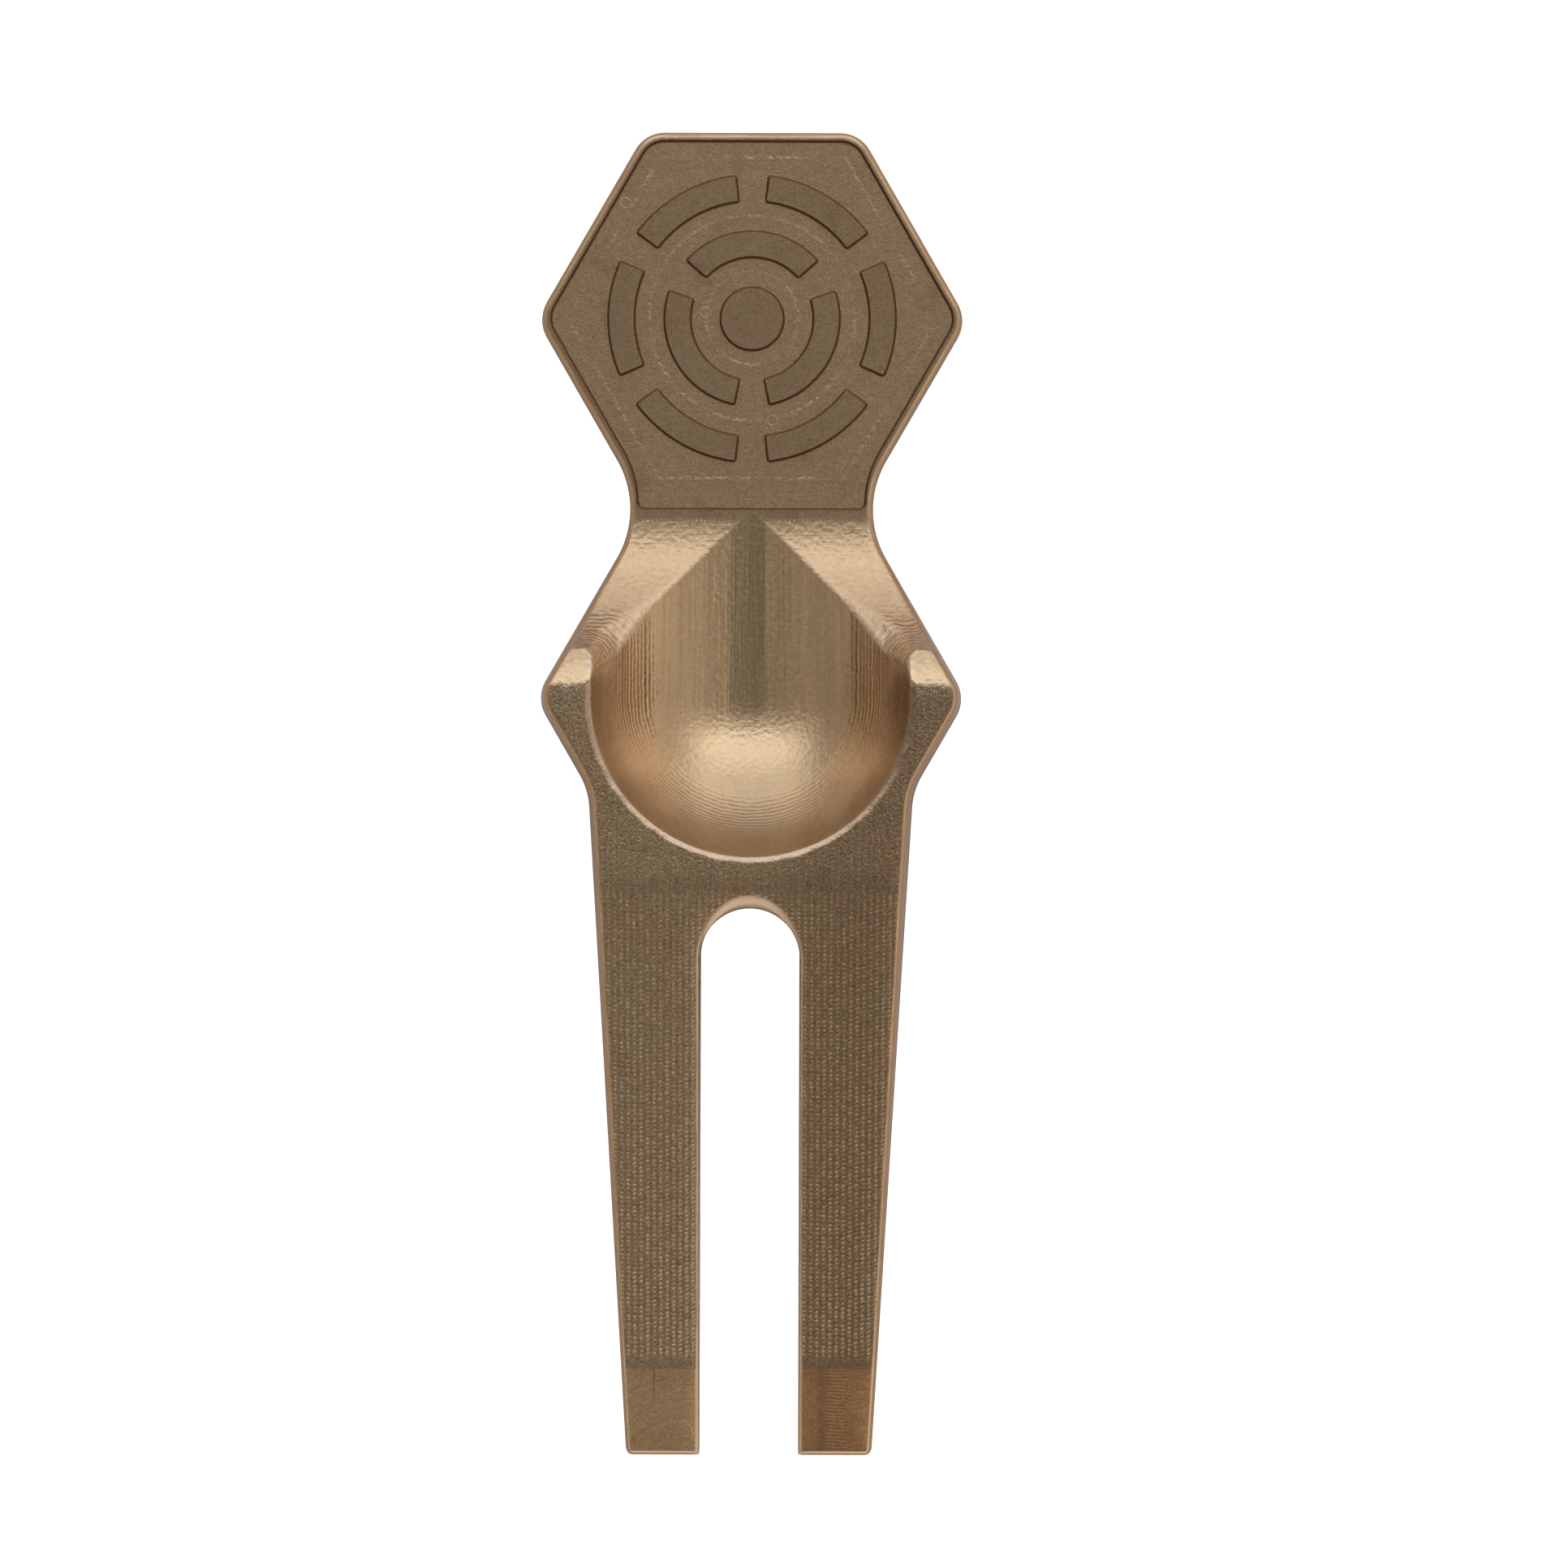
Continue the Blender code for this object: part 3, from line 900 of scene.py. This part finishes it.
def land_finish(nodes, place):
    """Bar stock left standing: fine even grain."""
    fine = nodes.noise(place, 0.14, 3.0)
    brushed = nodes.noise(place, (0.9, 0.1, 0.9))
    colour = nodes.tint(fine * 0.2 + brushed * 0.08 + 0.88, patina(nodes, place, OLIVE_COPPER))
    return colour, fine * 0.1 + 0.3, fine * 0.003 + brushed * 0.002


def pocket_floor_finish(nodes, place):
    """Satin floor with broken tool paths midway between the walls."""
    x, y, _ = place
    across = y - HEAD_CENTRE_Y
    radius = nodes.length(x, across)
    hexagon = nodes.greater(abs(across), abs(x) * math.cos(math.pi / 6) + abs(across) * 0.5)
    wander = nodes.noise(place, 0.6) * 0.08
    paths = nodes.line(hexagon - (HEX_ACROSS_FLATS / 2 - POCKET_RIM - 1.2) + wander, 0.2)
    for path_radius in (OUTER_RING_RADIUS - BADGE_LINE - BADGE_GAP / 2, DISC_RADIUS + BADGE_GAP / 2):
        paths = nodes.greater(paths, nodes.line(radius - path_radius + wander, 0.2))
    dashes = nodes.smooth(nodes.noise(place, 0.28, 3.0), -0.2, 0.3)
    faded = nodes.smooth(nodes.noise(place, 2.6), -0.3, 0.2) * 0.85 + 0.15
    paths = paths * dashes * faded
    for mark_x, mark_y in PLUNGE_MARKS:
        ring = nodes.length(x - mark_x, across - mark_y) - PLUNGE_RADIUS
        paths = nodes.greater(paths, nodes.line(ring, 0.1) * 0.6)
    spots = nodes.smooth(nodes.noise(place, 0.8, 1.0), 0.48, 0.62)
    fine = nodes.noise(place, 0.13, 3.0)
    mottle = nodes.noise(place, 0.5, 3.0)
    colour = nodes.tint(fine * 0.3 + mottle * 0.14 + 0.93, patina(nodes, place, COPPER))
    colour = nodes.mix(spots * 0.35, colour, SPOT_COPPER)
    colour = nodes.mix(paths * 0.65, colour, PINK_COPPER)
    return colour, fine * 0.12 + 0.33, fine * 0.007 + mottle * 0.006 + paths * 0.012


def edge_finish(nodes, place):
    """Worn edge, rubbed bright in places and all over at the tips."""
    fine = nodes.noise(place, 0.2, 3.0)
    rubbed = nodes.smooth(nodes.noise(place, 2.5), -0.4, 0.3)
    at_tips = nodes.smooth(place[1], -34.0, -40.0)
    colour = nodes.mix(rubbed, RED_COPPER, RUBBED_COPPER)
    colour = nodes.mix(at_tips * 0.7, colour, TIP_EDGE_COPPER)
    return nodes.tint(fine * 0.3 + at_tips * 0.15 + 0.95, colour), fine * 0.1 + 0.28, fine * 0.004


def lip_finish(nodes, place):
    """Broken edge of the cradle, slightly hammered by the cutter, with painted light at its foot and on
    its left and painted shade on its right.
    """
    x, y, _ = place
    mottle = nodes.noise(place, 0.3, 3.0)
    foot = nodes.smooth(y, 4.0, -3.0)
    right = nodes.smooth(x, 3.0, 8.5)
    left = nodes.smooth(x, -8.0, -10.3)
    # Painted light at the foot and on the left side, painted shade on the right side
    tone = mottle * 0.3 + foot * 0.22 - right * 0.2 + left * 0.25 + 0.74
    return nodes.tint(tone, LIP_COPPER), mottle * 0.1 + 0.3, mottle * 0.015


def slot_chamfer_finish(nodes, place):
    """Chamfer round the closed end of the slot, pale with painted light."""
    fine = nodes.noise(place, (0.3, 0.1, 0.1), 3.0)
    return nodes.tint(fine * 0.3 + 1, SLOT_CHAMFER_LIGHT_COPPER), fine * 0.1 + 0.35, fine * 0.004


def pocket_wall_finish(nodes, place):
    """Wall and foot of the pocket, darkened with painted shade."""
    fine = nodes.noise(place, 0.25, 3.0)
    return nodes.tint(fine * 0.5 + 1, POCKET_SHADE_COPPER), 0.45, fine * 0.005


def wall_finish(nodes, place):
    """Side milled with the cutter's flank: fine lines along it, faint chatter, and painted light on the
    slot's walls.
    """
    x, y, z = place
    level = z + y * 0.003
    lines = nodes.noise((x, y, level), (60.0, 60.0, 0.09), 2.0)
    passes = nodes.noise((x, y, level), (60.0, 60.0, 0.9), 1.0)
    chatter = nodes.noise(place, (0.3, 0.3, 6.0))
    broad = nodes.noise(place, 6.0)
    colour = nodes.mix(nodes.smooth(broad, -0.3, 0.5) * 0.4, WALL_COPPER, COPPER)
    slot = nodes.smooth(abs(x), SLOT_HALF_WIDTH + 0.4, SLOT_HALF_WIDTH + 0.2)
    slot = slot * nodes.smooth(y, -6.0, -7.0)
    # Painted light on the slot's walls
    colour = nodes.mix(slot * 0.8, colour, SLOT_WALL_LIGHT_COPPER)
    colour = nodes.tint(lines * 0.11 + passes * 0.05 + chatter * 0.06 + 0.96, colour)
    return colour, lines * 0.08 + passes * 0.08 + 0.26, lines * 0.003 + chatter * 0.002


def steps(nodes, place, pitch, wobble):
    """Ripples that follow the levels of the cutter, from -1 to 1."""
    level = place[2] + nodes.noise(place, 0.9) * wobble
    return nodes.math("SINE", level * (2 * math.pi / pitch))


def scales(nodes, place, size):
    """Overlapping scallops of a ball cutter."""
    spot = nodes.vector(*[part * (1 / size) for part in place])
    node = nodes.add("ShaderNodeTexVoronoi", {"Vector": spot, "Scale": 1.0}, feature="SMOOTH_F1")
    return Value(nodes, node.outputs["Distance"])


def ramp_finish(nodes, place):
    """Cream ramp with a fish-scale mottle, painted light by the horns, and ripples where it is steep."""
    x, y, z = place
    mottle = nodes.noise(place, 0.35, 3.0)
    scale = scales(nodes, place, 0.34)
    ripple = steps(nodes, place, RAMP_STEP, 0.3)
    within_horn = nodes.smooth(abs(x), LIP_RADIUS + 0.3, LIP_RADIUS)
    below_horn = nodes.greater(within_horn, nodes.smooth(y, 9.4, 9.8))
    steep = nodes.smooth(y, 13.0, 11.6) * nodes.smooth(y, 8.4, 9.2)
    steep = steep * nodes.smooth(abs(x), 7.5, 9.5) * below_horn
    near_horn = nodes.smooth(y, 11.6, 10.0) * below_horn
    high_up = nodes.smooth(z, 4.0, 7.0) * below_horn
    corner = nodes.smooth(abs(x), 9.9, 10.5) * nodes.smooth(abs(x), 11.5, 11.1)
    corner = corner * nodes.smooth(y, 10.6, 10.2) * nodes.smooth(z, 9.6, 9.2)
    across = nodes.noise(place, (2.5, 0.16, 0.16))
    colour = nodes.mix(high_up * 0.3, COPPER, PINK_COPPER)
    # Painted light by the horns and in their inner corners
    colour = nodes.mix(near_horn * 0.4, colour, HORN_LIGHT_COPPER)
    colour = nodes.mix(corner * 0.6, colour, HORN_CORNER_LIGHT_COPPER)
    colour = nodes.mix(steep * nodes.smooth(ripple, 0.2, 1.0) * 0.25, colour, BROWN_COPPER)
    colour = nodes.tint(mottle * 0.2 + scale * 0.14 - high_up * 0.07 + 0.95, colour)
    height = mottle * 0.016 + scale * 0.022 + across * 0.006 + ripple * steep * 0.008
    return colour, mottle * 0.1 + nodes.smooth(y, 9.0, 11.0) * 0.1 + 0.24, height


def cradle_side_light_and_shade(nodes, x, y, out):
    """Painted light and shade on the cradle's sides against its middle: above 0 is lighter."""
    right_floor = nodes.smooth(x, 1.0, 1.8) * nodes.smooth(x, 5.5, 4.0) * nodes.smooth(y, 4.0, 6.0)
    left = nodes.smooth(x, -5.0, -7.5) * nodes.smooth(y, 0.5, 2.5)
    right = nodes.smooth(x, 5.0, 7.5) * nodes.smooth(y, 2.0, 4.0)
    low = nodes.smooth(out, 5.5, 7.5) * nodes.smooth(y, 2.0, 0.0) * nodes.smooth(abs(x), 2.0, 5.0)
    return right_floor * 0.1 + left * 0.12 - low * 0.2 - right * 0.17


def cradle_finish(nodes, place):
    """Lengthwise streaks, level ripples low on the wall, a dull strip along the middle, and painted light
    and shade on the walls.
    """
    x, y, z = place
    behind = nodes.math("MINIMUM", y - BODY_CENTRE_Y, 0.0)
    out = nodes.length(x, behind)
    straight = nodes.smooth(y, 2.0, 8.0)
    streak = nodes.noise(place, (0.12, 9.0, 30.0), 3.0) * straight
    stripe = nodes.noise(place, (0.7, 40.0, 40.0)) * straight
    band = nodes.smooth(out, 6.2, 7.0) * nodes.smooth(out, 9.6, 8.4)
    ripple = steps(nodes, place, CRADLE_STEP, 0.09) * band
    thin = nodes.smooth(nodes.noise((out, y, z), (0.15, 40.0, 40.0), 2.0), 0.05, 0.4) * band
    thin = thin * nodes.smooth(y, 2.0, 7.0)
    mottle = nodes.noise(place, 0.3, 3.0)
    cloud = nodes.noise(place, (1.2, 2.5, 2.5), 3.0)
    scale = scales(nodes, place, 0.32)
    from_stripe = abs(x - STRIPE_X)
    middle = nodes.smooth(from_stripe, STRIPE_HALF_WIDTH + 0.02, STRIPE_HALF_WIDTH - 0.08)
    middle = middle * nodes.smooth(y, 4.8, 6.2)
    beside = nodes.smooth(from_stripe, 2.6, STRIPE_HALF_WIDTH) * nodes.smooth(y, 2.8, 4.2) - middle
    # Painted light: the deep walls paler. Painted shade: low in the ball end and up towards the lip.
    deep = nodes.smooth(out, 7.0, 10.4)
    sunk = nodes.smooth(y, 0.5, -3.5) * 0.75
    # Painted light by the horns, which also lifts the painted shade there
    horn_light = nodes.smooth(abs(x), 8.8, 9.8) * nodes.smooth(y, 7.2, 8.8)
    shaded = nodes.greater(sunk, nodes.smooth(out, 8.6, 10.6) * 0.65 - horn_light * 0.5)
    colour = nodes.mix(deep, COPPER, DEEP_WALL_LIGHT_COPPER)
    colour = nodes.mix(shaded, colour, SHADED_COPPER)
    colour = nodes.mix(nodes.smooth(cloud, 0.0, 0.5) * deep * 0.35, colour, BROWN_COPPER)
    colour = nodes.mix(middle * 0.65, colour, STRIPE_COPPER)
    colour = nodes.mix(thin * 0.85, colour, BROWN_COPPER)
    colour = nodes.mix(horn_light * 0.6, colour, BOWL_EDGE_LIGHT_COPPER)
    tone = mottle * 0.16 + streak * 0.3 + stripe * 0.2 + scale * 0.08 + beside * 0.14
    # Painted light on the left, painted shade on the right and low down
    tone = tone + cradle_side_light_and_shade(nodes, x, y, out) + 0.96
    height = mottle * 0.012 + scale * 0.014 + streak * 0.009 + ripple * 0.008
    return nodes.tint(tone, colour), mottle * 0.1 + streak * 0.08 + deep * 0.2 + 0.25, height


def dotted_finish(nodes, place):
    """Columns of small pits left by the cutter's feed, each with a painted glint beside it and painted
    shade in it. On the body they are fainter.
    """
    x, y, _ = place
    column_place = x * (1 / DOT_COLUMN_PITCH)
    column = nodes.math("FLOOR", column_place)
    row_place = y * (1 / DOT_ROW_PITCH) + nodes.random(column, 7.0) * 0.7
    row = nodes.math("FLOOR", row_place)
    chance = nodes.random(column, row)
    across = (column_place - column - 0.5 + (chance - 0.5) * 0.12) * DOT_COLUMN_PITCH
    along = (row_place - row - 0.5 + (chance - 0.5) * 0.12) * DOT_ROW_PITCH
    pit = nodes.smooth(nodes.length(across * 0.8, along), DOT_RADIUS, 0.0) * (chance * 0.5 + 0.6)
    on_tines = nodes.smooth(y + nodes.noise(place, 0.5) * 0.4, -6.2, -6.8)
    fading = nodes.smooth(y, TIP_LAND_Y + 0.2, TIP_LAND_Y + 1.1)
    # Painted glint: a bright spot just up from each pit
    glint = nodes.smooth(nodes.length(across, along - 0.04), 0.12, 0.04) * (chance * 0.5 + 0.5)
    glint = glint * fading * (on_tines * 0.6 + 0.4)
    pit = pit * on_tines * fading
    fine = nodes.noise(place, (0.13, 0.17, 0.17), 2.0)
    ribs = nodes.noise(place, (0.2, 1.2, 1.2)) * (1 - on_tines)
    coarse = nodes.noise(place, 0.4)
    # Painted shade: darker and browner towards the right
    right_shade = nodes.smooth(x, -2, 7) * 0.42
    colour = nodes.mix(right_shade, patina(nodes, place, OLIVE_COPPER), BROWN_COPPER)
    below_crest = nodes.smooth(y, CREST_Y - 0.75, CREST_Y - 0.45)
    ragged = nodes.smooth(nodes.noise(place, (0.9, 0.12, 0.12)), -0.2, 0.3)
    colour = nodes.mix(below_crest * ragged, colour, PINK_COPPER)
    level = on_tines * 0.14 + 0.78
    # Pits painted darker as shade
    tone = level * (fine * 0.65 + coarse * 0.14 + ribs * 0.2 - pit * 0.1 + 1)
    colour = nodes.mix(glint * 0.42, nodes.tint(tone, colour), PAINTED_GLINT_COPPER)
    rise = 0.024 - on_tines * 0.012
    depth = y * -0.0006 + 0.024
    return colour, fine * 0.12 + 0.3, fine * rise + ribs * 0.006 - pit * depth


def tip_finish(nodes, place):
    """Browner landing at the tips, swept by the end of the cutter."""
    x, y, z = place
    right = nodes.smooth(x, -1.0, 1.0)
    sweep = nodes.length(abs(x) - TIP_SWEEP[0], y - TIP_SWEEP[1])
    arcs = nodes.noise((sweep, x, z), (0.1, 6.0, 6.0), 3.0)
    waver = nodes.noise(place, 1.6) * 0.05
    ladder = nodes.math("SINE", (y + waver + x * 0.05) * (2 * math.pi / LADDER_PITCH))
    ladder = ladder * nodes.smooth(x, 5.1, 5.4) * nodes.smooth(x, 6.9, 6.2)
    slant = nodes.noise((x + y * 0.5, y - x * 0.3, z), (1.2, 0.12, 1.0), 3.0)
    slant = slant * nodes.smooth(x, 6.0, 6.8)
    band = nodes.line(x - TIP_BAND_X + nodes.noise(place, 1.5) * 0.2, 0.55)
    fine = nodes.noise(place, 0.15, 3.0)
    stain = nodes.smooth(nodes.noise(place, (0.4, 1.4, 1.4), 3.0), 0.1, 0.6)
    scratch = nodes.line(x - TIP_SCRATCH_X + nodes.noise(place, 0.8) * 0.1, 0.09)
    scratch = scratch * nodes.smooth(y, -41.2, -40.6)
    ring = nodes.length(x - TIP_RING[0], y - TIP_RING[1]) - TIP_RING_RADIUS
    ring = nodes.line(ring, 0.1) * 0.5
    # Painted shade: the right tip darker and browner than the left
    colour = nodes.mix(right, LEFT_TIP_COPPER, RIGHT_TIP_SHADED_COPPER)
    dark = nodes.smooth(arcs, -0.2, 0.6) * 0.3 + stain * 0.35 + band * 0.45
    colour = nodes.mix(nodes.greater(dark, scratch * 0.9), colour, BROWN_COPPER)
    tone = fine * 0.45 - ladder * 0.3 + slant * 0.6 + arcs * right * 0.3 + ring * 0.3 + 1.12
    height = arcs * 0.007 + ladder * 0.002 + slant * 0.004 + fine * 0.006 + ring * 0.01
    return nodes.tint(tone, colour), fine * 0.1 + 0.28, height


def back_finish(nodes, place):
    """Back faced off by a wide cutter: shallow arcs along the tool."""
    x, y, z = place
    bow = nodes.math("SQRT", FACING_RADIUS**2 - x * x)
    sweep = y + bow
    wander = nodes.noise(place, 4.0) * 0.1
    ridges = nodes.math("SINE", (sweep + wander) * (2 * math.pi / FACING_PITCH))
    marks = nodes.noise((sweep, x, z), (0.12, 8.0, 8.0), 3.0)
    colour = nodes.tint(marks * 0.16 + 1, patina(nodes, place, COPPER))
    return colour, marks * 0.1 + 0.3, ridges * 0.002 + marks * 0.004


def copper(name, finish):
    """Metal material whose recipe gives its colour, roughness and relief in millimetres."""
    material = bpy.data.materials.new("copper_" + name)
    material.use_nodes = True
    nodes = Nodes(material.node_tree)
    coordinates = nodes.add("ShaderNodeTexCoord").outputs["Object"]
    split = nodes.add("ShaderNodeSeparateXYZ", {"Vector": coordinates})
    place = [Value(nodes, socket) * (1 / MM) for socket in split.outputs]
    colour, roughness, height = finish(nodes, place)
    bump = nodes.add("ShaderNodeBump", {"Height": height, "Distance": MM, "Strength": 1.0})
    shader = material.node_tree.nodes["Principled BSDF"]
    nodes.plug(shader.inputs["Base Color"], colour)
    nodes.plug(shader.inputs["Roughness"], roughness)
    nodes.plug(shader.inputs["Normal"], bump.outputs["Normal"])
    shader.inputs["Metallic"].default_value = 1
    return material


def materials():
    finishes = {
        "wall": wall_finish,
        "land": land_finish,
        "edge": edge_finish,
        "lip": lip_finish,
        "slot_chamfer": slot_chamfer_finish,
        "pocket_wall": pocket_wall_finish,
        "pocket_floor": pocket_floor_finish,
        "ramp": ramp_finish,
        "cradle": cradle_finish,
        "dotted": dotted_finish,
        "tip": tip_finish,
        "back": back_finish,
    }
    return {name: copper(name, finish) for name, finish in finishes.items()}


def studio_floor():
    mesh = bpy.data.meshes.new("studio_floor")
    reach = 3.0
    corners = [(-reach, -reach, 0), (reach, -reach, 0), (reach, reach, 0), (-reach, reach, 0)]
    mesh.from_pydata(corners, [], [(0, 1, 2, 3)])
    floor = bpy.data.objects.new("studio_floor", mesh)
    floor.location.z = cad_low[2] - 0.00002
    bpy.context.scene.collection.objects.link(floor)
    material = bpy.data.materials.new("white_sweep")
    material.use_nodes = True
    nodes = Nodes(material.node_tree)
    shader = material.node_tree.nodes["Principled BSDF"]
    shader.inputs["Base Color"].default_value = (0.8, 0.8, 0.8, 1)
    shader.inputs["Roughness"].default_value = 0.8
    shader.inputs["Emission Color"].default_value = (1, 1, 1, 1)
    seen = nodes.add("ShaderNodeLightPath").outputs["Is Camera Ray"]
    nodes.plug(shader.inputs["Emission Strength"], seen)
    mesh.materials.append(material)


def studio_light():
    """White tent: bright above the head end, softer to the sides, and dim straight overhead."""
    world = bpy.data.worlds.new("studio")
    bpy.context.scene.world = world
    world.use_nodes = True
    nodes = Nodes(world.node_tree)
    direction = nodes.add("ShaderNodeTexCoord").outputs["Generated"]
    split = nodes.add("ShaderNodeSeparateXYZ", {"Vector": direction})
    x, y, z = [Value(nodes, part) for part in split.outputs]
    lean = nodes.math("DEGREES", nodes.math("ARCTAN2", y, z))
    fall = nodes.smooth(lean, 62, 34) * 0.5 + nodes.smooth(lean, 108, 74) * 0.5
    head = nodes.smooth(lean, 12.5, 33) * fall * nodes.smooth(abs(x), 0.8, 0.35)
    glow = nodes.total(AMBIENT_LIGHT, nodes.tint(head, HEAD_LIGHT))
    glow = nodes.total(glow, nodes.tint(nodes.smooth(x, 0.12, 0.6), RIGHT_LIGHT))
    glow = nodes.total(glow, nodes.tint(nodes.smooth(x, -0.12, -0.6), LEFT_LIGHT))
    glow = nodes.total(glow, nodes.tint(nodes.smooth(z, 0.6, 0.2), HORIZON_LIGHT))
    glow = nodes.total(glow, nodes.tint(nodes.smooth(y, -0.75, -0.97), TIP_LIGHT))
    background = world.node_tree.nodes["Background"]
    nodes.plug(background.inputs["Color"], glow)
    background.inputs["Strength"].default_value = 1


def camera():
    """Long lens straight above the tool. The frame's width is taken at the tool's back."""
    data = bpy.data.cameras.new("camera")
    data.lens = 200
    data.sensor_width = 36
    view = bpy.data.objects.new("camera", data)
    distance = FRAME_WIDTH * MM * data.lens / data.sensor_width
    view.location = (CAMERA_X * MM, CAMERA_Y * MM, distance)
    view.rotation_euler = (0, 0, CAMERA_ROLL)
    data.clip_end = 100
    bpy.context.scene.collection.objects.link(view)
    bpy.context.scene.camera = view


def main():
    tool = tool_object(tool_solid(), materials())
    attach(tool, "root")
    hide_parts(NODE)
    studio_floor()
    studio_light()
    camera()
    bpy.context.scene.view_settings.view_transform = "Standard"


main()
